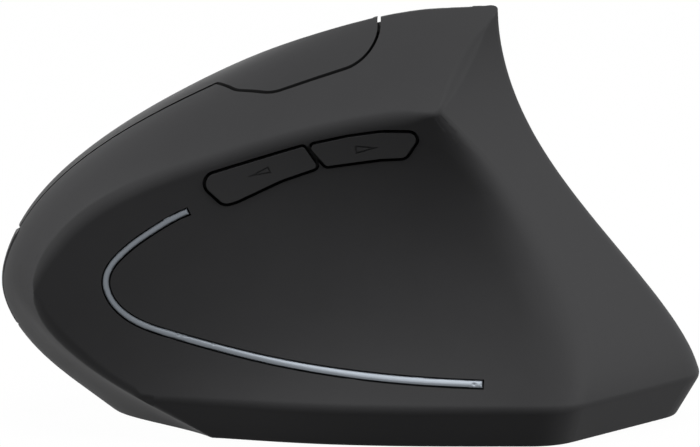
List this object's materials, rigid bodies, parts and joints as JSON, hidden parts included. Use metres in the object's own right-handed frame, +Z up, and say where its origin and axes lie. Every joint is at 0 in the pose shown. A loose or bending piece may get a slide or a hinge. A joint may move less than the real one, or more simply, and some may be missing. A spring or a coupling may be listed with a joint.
{
  "type": "vertical ergonomic mouse",
  "caption": "Right-handed vertical wireless mouse: a leaning shell with thumb rest, click buttons and scroll wheel on the finger side, and thumb buttons over a trim arc.",
  "frame": {"origin": "on the desk surface, under the middle of the mouse's box", "axes": "+Y towards the mouse's front, +X towards the finger side, +Z up"},
  "size_m": [0.063, 0.1199, 0.0728],
  "materials": {
    "shell_plastic": "soft-touch coating, fine grain",
    "button_plastic": "fine matte",
    "inner_plastic": "moulded",
    "base_plastic": "moulded, slightly textured",
    "trim_metal": "satin",
    "panel_rubber": "matte",
    "wheel_rubber": "matte, ribbed",
    "screw_steel": "zinc plated",
    "circuit_board": "solder mask",
    "switch_plastic": "moulded",
    "cell_sleeve": "printed sleeve, left plain",
    "lens_clear": "clear",
    "foot_plastic": "smooth, low friction"
  },
  "bodies": {
    "chassis": {"main_shell": "shell_plastic", "side_button_bracket": "inner_plastic", "thumb_board": "circuit_board", "forward_switch": "switch_plastic", "back_switch": "switch_plastic", "thumb_screws": "screw_steel", "trim_strip": "trim_metal", "palm_panel": "panel_rubber", "finger_board": "circuit_board", "finger_screws": "screw_steel", "left_microswitch": "switch_plastic", "right_microswitch": "switch_plastic", "wheel_switch": "switch_plastic", "dpi_switch": "switch_plastic", "wheel_encoder": "switch_plastic", "base_plate": "base_plastic", "base_screws": "screw_steel", "battery_tray": "inner_plastic", "left_battery": "cell_sleeve", "right_battery": "cell_sleeve", "contact_springs": "screw_steel", "rear_contact": "screw_steel", "front_contacts": "screw_steel", "main_board": "circuit_board", "board_screws": "screw_steel", "sensor_lens": "lens_clear", "optical_sensor": "switch_plastic", "radio_chip": "switch_plastic", "power_switch": "switch_plastic", "front_foot": "foot_plastic", "left_rear_foot": "foot_plastic", "right_rear_foot": "foot_plastic"},
    "left_click": {"left_click_button": "shell_plastic"},
    "right_click": {"right_click_button": "shell_plastic"},
    "forward": {"forward_button": "button_plastic"},
    "back": {"back_button": "button_plastic"},
    "carrier": {"wheel_carrier": "inner_plastic"},
    "wheel": {"wheel_hub": "inner_plastic", "wheel_tyre": "wheel_rubber", "wheel_axle": "screw_steel"},
    "dpi": {"dpi_button": "button_plastic"},
    "power": {"power_slider": "button_plastic"},
    "door": {"battery_door": "base_plastic"},
    "receiver": {"nano_receiver": "button_plastic"}
  },
  "joints": [
    {"name": "left_click_press", "type": "hinge", "parent": "chassis", "child": "left_click", "pos_m": [0.01394, -0.00356, 0.0532], "axis": [-0.5163, 0.2044, 0.8316], "range_deg": [0, 0.45], "stiffness_Nm_per_rad": 2, "springref_deg": -0.11},
    {"name": "right_click_press", "type": "hinge", "parent": "chassis", "child": "right_click", "pos_m": [0.0222, -0.00683, 0.0399], "axis": [-0.5163, 0.2044, 0.8316], "range_deg": [0, 0.45], "stiffness_Nm_per_rad": 2, "springref_deg": -0.11},
    {"name": "wheel_press", "type": "slide", "parent": "chassis", "child": "carrier", "axis": [-0.845, -0.2794, -0.4559], "range_m": [0, 0.0005], "stiffness_N_per_m": 1500, "springref_m": -0.0003},
    {"name": "wheel_spin", "type": "hinge", "parent": "carrier", "child": "wheel", "pos_m": [0.00975, 0.03043, 0.03263], "axis": [-0.5163, 0.2044, 0.8316], "continuous": true},
    {"name": "dpi_press", "type": "slide", "parent": "chassis", "child": "dpi", "axis": [-0.845, -0.2794, -0.4559], "range_m": [0, 0.0005], "stiffness_N_per_m": 800, "springref_m": -0.0002},
    {"name": "forward_press", "type": "slide", "parent": "chassis", "child": "forward", "axis": [1, 0, 0], "range_m": [0, 0.00075], "stiffness_N_per_m": 800, "springref_m": -0.0002},
    {"name": "back_press", "type": "slide", "parent": "chassis", "child": "back", "axis": [1, 0, 0], "range_m": [0, 0.00075], "stiffness_N_per_m": 800, "springref_m": -0.0002},
    {"name": "power_slide", "type": "slide", "parent": "chassis", "child": "power", "axis": [1, 0, 0], "range_m": [0, 0.003]},
    {"name": "battery_door_hinge", "type": "hinge", "parent": "chassis", "child": "door", "pos_m": [0, -0.04172, 0.0006], "axis": [-1, 0, 0], "range_deg": [0, 80]},
    {"name": "receiver_pull", "type": "slide", "parent": "chassis", "child": "receiver", "axis": [0, 0, -1], "range_m": [0, 0.017]}
  ]
}
